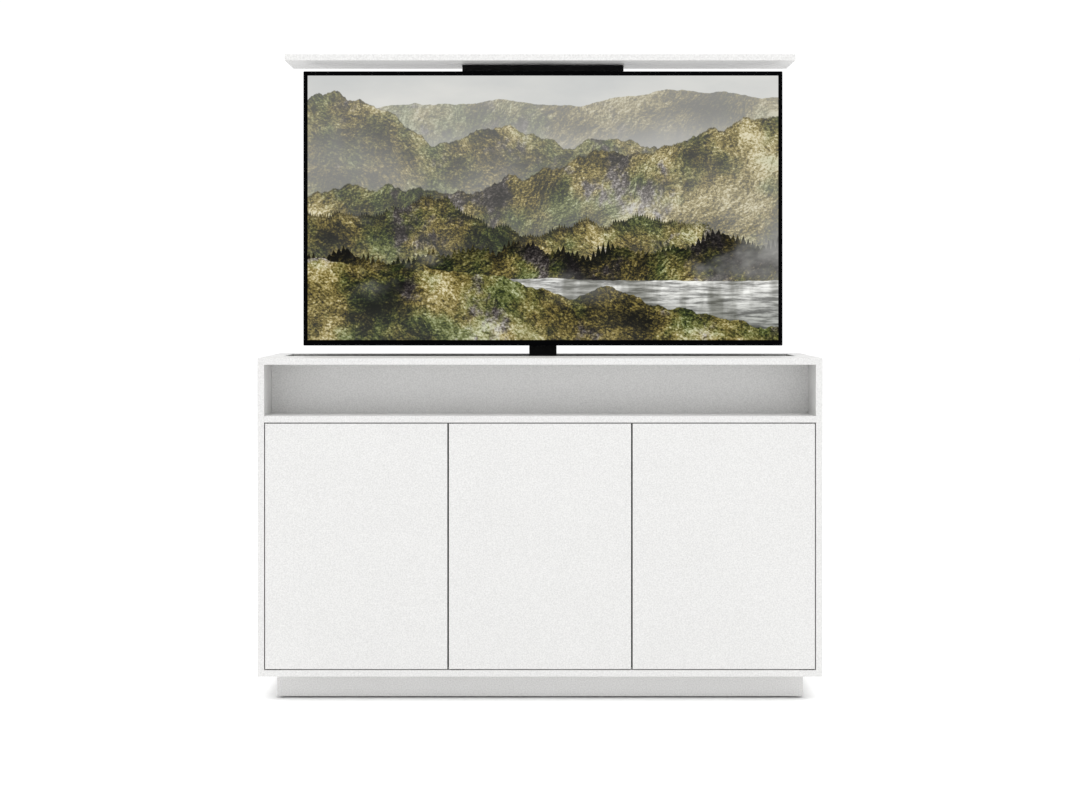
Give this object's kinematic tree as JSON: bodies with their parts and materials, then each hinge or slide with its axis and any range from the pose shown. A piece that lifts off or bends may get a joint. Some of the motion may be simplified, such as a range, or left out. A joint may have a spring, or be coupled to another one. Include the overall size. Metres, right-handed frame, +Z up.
{
  "type": "tv lift cabinet",
  "caption": "Low cabinet with an open niche and inset doors, and a telescopic lift that raises a flat television and its lid through a slot in the top.",
  "frame": {"origin": "on the floor, under the middle of the cabinet", "axes": "+Z up; the doors and the screen face -Y; +X to the right seen from the front; the lift stands fully raised"},
  "size_m": [1.65, 0.45, 1.917],
  "materials": {
    "white_lacquer": "matt white lacquer on board",
    "black_steel": "satin black powder coat on steel",
    "zinc_steel": "zinc-plated steel",
    "spindle_steel": "oiled ground steel",
    "zinc_sheet": "galvanised sheet",
    "black_plastic": "fine-textured black plastic",
    "grey_plastic": "light grey moulded plastic",
    "bezel_plastic": "satin black",
    "screen": null,
    "belt_rubber": "toothed drive belt",
    "circuit_board": "circuit board with components"
  },
  "bodies": {
    "cabinet": {"side_panel_left": "white_lacquer", "side_panel_right": "white_lacquer", "top_panel": "white_lacquer", "bottom_panel": "white_lacquer", "niche_shelf": "white_lacquer", "divider_panel": "white_lacquer", "rear_rail": "white_lacquer", "back_panel": "white_lacquer", "partitions": "white_lacquer", "cabinet_screws": "zinc_steel", "cable_grommets": "black_plastic", "plinth_front": "white_lacquer", "plinth_frame": "white_lacquer", "floor_glides": "black_plastic", "storage_shelves": "white_lacquer", "shelf_pins": "zinc_steel", "door_pivots": "zinc_steel", "latch_bodies": "grey_plastic", "lift_base": "black_steel", "lift_base_bolts": "zinc_steel", "lift_outer_column": "black_steel", "lift_outer_collar": "black_plastic", "lift_motor": "black_steel", "lift_drive_belt": "belt_rubber", "lift_control_unit": "black_plastic"},
    "middle_stage": {"lift_middle_column": "black_steel", "lift_middle_guides": "black_plastic", "lift_middle_nut": "black_plastic"},
    "carriage": {"lift_inner_column": "black_steel", "lift_inner_nut": "black_plastic", "lift_carriage_bracket": "black_steel", "lift_carriage_bolts": "zinc_steel", "lid": "white_lacquer", "lid_bracket": "black_steel", "lid_screws": "zinc_steel", "tv_cross_rails": "black_steel", "tv_arms": "black_steel", "tv_bezel": "bezel_plastic", "tv_screen": "screen", "tv_chassis": "zinc_sheet", "tv_slim_frame": "black_plastic", "tv_slim_cover": "black_plastic", "tv_electronics_cover": "black_plastic", "tv_cover_screws": "zinc_steel", "tv_boards": "circuit_board", "tv_speakers": "black_plastic"},
    "lower_spindle": {"lift_lower_spindle": "spindle_steel", "lift_spindle_pulley": "zinc_steel"},
    "upper_spindle": {"lift_upper_spindle": "spindle_steel"},
    "motor_pulley": {"lift_motor_pulley": "zinc_steel"},
    "power_button": {"tv_power_button": "black_plastic"},
    "door_left": {"door_left": "white_lacquer", "door_fittings_left": "zinc_steel"},
    "latch_left": {"latch_plunger_left": "grey_plastic"},
    "door_middle": {"door_middle": "white_lacquer", "door_fittings_middle": "zinc_steel"},
    "latch_middle": {"latch_plunger_middle": "grey_plastic"},
    "door_right": {"door_right": "white_lacquer", "door_fittings_right": "zinc_steel"},
    "latch_right": {"latch_plunger_right": "grey_plastic"}
  },
  "joints": [
    {"name": "lift_middle", "type": "slide", "parent": "cabinet", "child": "middle_stage", "axis": [0, 0, 1], "range_m": [-0.457, 0]},
    {"name": "lift_inner", "type": "slide", "parent": "middle_stage", "child": "carriage", "axis": [0, 0, 1], "range_m": [-0.457, 0]},
    {"name": "lift_lower_spin", "type": "hinge", "parent": "cabinet", "child": "lower_spindle", "pos_m": [0.009, 0.127, 0.5], "axis": [0, 0, -1], "continuous": true},
    {"name": "lift_upper_spin", "type": "hinge", "parent": "middle_stage", "child": "upper_spindle", "pos_m": [0.009, 0.127, 1], "axis": [0, 0, -1], "continuous": true},
    {"name": "lift_motor_spin", "type": "hinge", "parent": "cabinet", "child": "motor_pulley", "pos_m": [0.097, 0.127, 0.114], "axis": [0, 0, -1], "continuous": true},
    {"name": "door_left_hinge", "type": "hinge", "parent": "cabinet", "child": "door_left", "pos_m": [-0.797, -0.219, 0.4535], "axis": [0, 0, -1], "range_deg": [0, 105]},
    {"name": "door_middle_hinge", "type": "hinge", "parent": "cabinet", "child": "door_middle", "pos_m": [-0.26013, -0.219, 0.4535], "axis": [0, 0, -1], "range_deg": [0, 90]},
    {"name": "door_right_hinge", "type": "hinge", "parent": "cabinet", "child": "door_right", "pos_m": [0.797, -0.219, 0.4535], "axis": [0, 0, 1], "range_deg": [0, 105]},
    {"name": "latch_left_plunge", "type": "slide", "parent": "cabinet", "child": "latch_left", "axis": [0, 1, 0], "range_m": [0, 0.003], "stiffness_N_per_m": 900, "springref_m": -0.001},
    {"name": "latch_middle_plunge", "type": "slide", "parent": "cabinet", "child": "latch_middle", "axis": [0, 1, 0], "range_m": [0, 0.003], "stiffness_N_per_m": 900, "springref_m": -0.001},
    {"name": "latch_right_plunge", "type": "slide", "parent": "cabinet", "child": "latch_right", "axis": [0, 1, 0], "range_m": [0, 0.003], "stiffness_N_per_m": 900, "springref_m": -0.001},
    {"name": "power_button_press", "type": "slide", "parent": "carriage", "child": "power_button", "axis": [0, 0, 1], "range_m": [0, 0.001], "stiffness_N_per_m": 800, "springref_m": -0.0005}
  ],
  "couplings": [
    {"joint": "lift_inner", "follows": "lift_middle", "ratio": 1},
    {"joint": "lift_lower_spin", "follows": "lift_middle", "rad_per_m": 628.32},
    {"joint": "lift_upper_spin", "follows": "lift_middle", "rad_per_m": 628.32},
    {"joint": "lift_motor_spin", "follows": "lift_middle", "rad_per_m": 1256.6}
  ]
}
